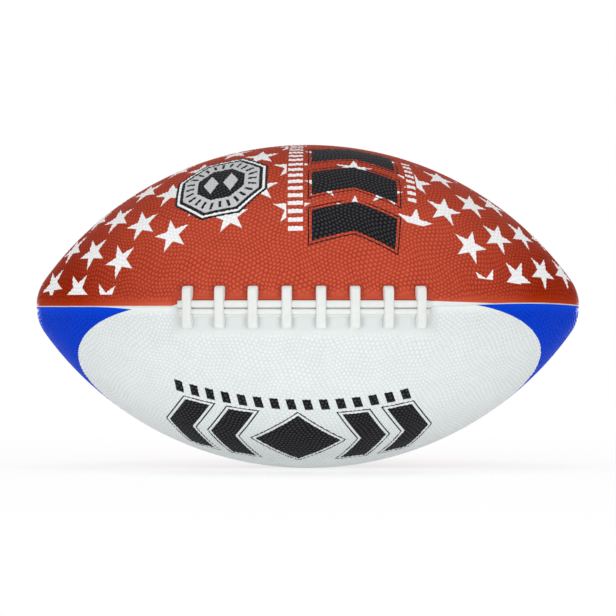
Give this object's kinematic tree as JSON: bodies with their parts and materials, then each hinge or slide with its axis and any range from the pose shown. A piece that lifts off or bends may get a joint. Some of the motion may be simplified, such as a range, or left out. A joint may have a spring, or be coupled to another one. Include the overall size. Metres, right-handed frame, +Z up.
{
  "type": "american football",
  "caption": "Full-size american football of moulded rubber: pebbled red and white panels with stars and blue ends, raised white lace and an inflation valve with a push-in core.",
  "frame": {"origin": "middle of the ball, on its long axis", "axes": "+X along the ball from tip to tip, +Z up, the lace faces -Y and the valve is at the back"},
  "size_m": [0.285, 0.1731, 0.1696],
  "materials": {
    "cover_red": "pebbled satin rubber, red with printed white stars",
    "cover_white": "pebbled satin rubber, white with printed blue ends",
    "lace_rubber": "smooth satin white rubber",
    "carcass_rubber": "matt black rubber",
    "winding_nylon": "wound nylon thread",
    "bladder_rubber": "smooth black butyl rubber",
    "valve_rubber": "satin black rubber"
  },
  "bodies": {
    "ball": {"panel_front_upper": "cover_red", "panel_front_lower": "cover_white", "panel_back_upper": "cover_white", "panel_back_lower": "cover_red", "carcass_layer": "carcass_rubber", "nylon_winding": "winding_nylon", "bladder": "bladder_rubber", "lace_pad": "lace_rubber", "lace_rail_upper": "lace_rubber", "lace_rail_lower": "lace_rubber", "lace_bar_1": "lace_rubber", "lace_bar_2": "lace_rubber", "lace_bar_3": "lace_rubber", "lace_bar_4": "lace_rubber", "lace_bar_5": "lace_rubber", "lace_bar_6": "lace_rubber", "lace_bar_7": "lace_rubber", "lace_bar_8": "lace_rubber", "valve_housing": "valve_rubber", "valve_patch": "valve_rubber"},
    "valve_core": {"valve_core": "valve_rubber"}
  },
  "joints": [
    {"name": "core_slide", "type": "slide", "parent": "ball", "child": "valve_core", "axis": [0, 0.9397, 0.342], "range_m": [0, 0.018]}
  ]
}
